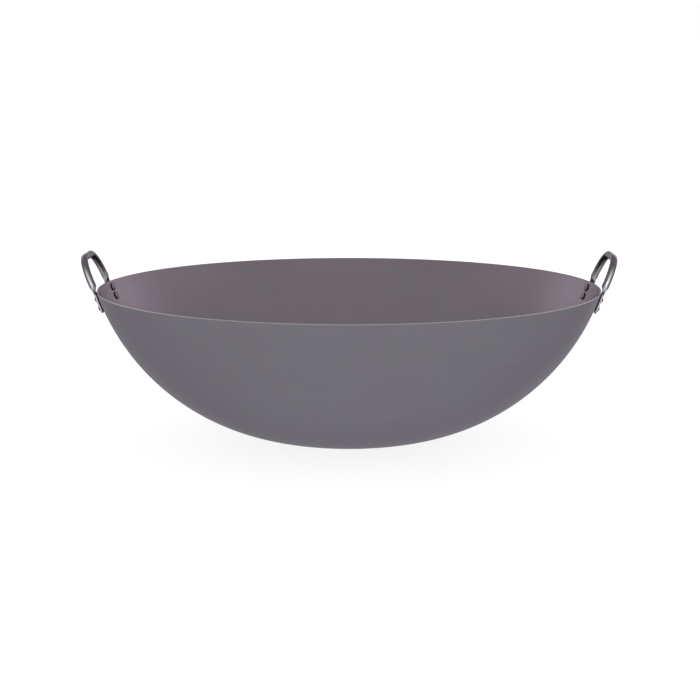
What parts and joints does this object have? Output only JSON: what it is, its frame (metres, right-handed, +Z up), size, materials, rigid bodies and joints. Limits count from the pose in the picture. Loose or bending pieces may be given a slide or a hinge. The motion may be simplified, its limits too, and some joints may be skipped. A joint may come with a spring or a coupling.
{
  "type": "two-handled wok",
  "caption": "Large deep bowl-shaped steel pan with a curved wall, a small flat underneath and a riveted loop handle of round bar at each side of the rim.",
  "frame": {"origin": "centre of the flat that the pan stands on, at floor level", "axes": "+Z up through the mouth, +X towards the right handle, -Y towards the viewer"},
  "size_m": [0.6982, 0.6598, 0.2446],
  "materials": {
    "bowl_steel": "dull grey pressed steel sheet",
    "handle_steel": "smooth darkened round steel bar",
    "rivet_steel": "bright steel rivet"
  },
  "bodies": {
    "root": {"bowl": "bowl_steel", "left_handle": "handle_steel", "right_handle": "handle_steel", "rivet_left_front_upper": "rivet_steel", "rivet_left_front_lower": "rivet_steel", "rivet_left_rear_upper": "rivet_steel", "rivet_left_rear_lower": "rivet_steel", "rivet_right_front_upper": "rivet_steel", "rivet_right_front_lower": "rivet_steel", "rivet_right_rear_upper": "rivet_steel", "rivet_right_rear_lower": "rivet_steel"}
  },
  "joints": []
}
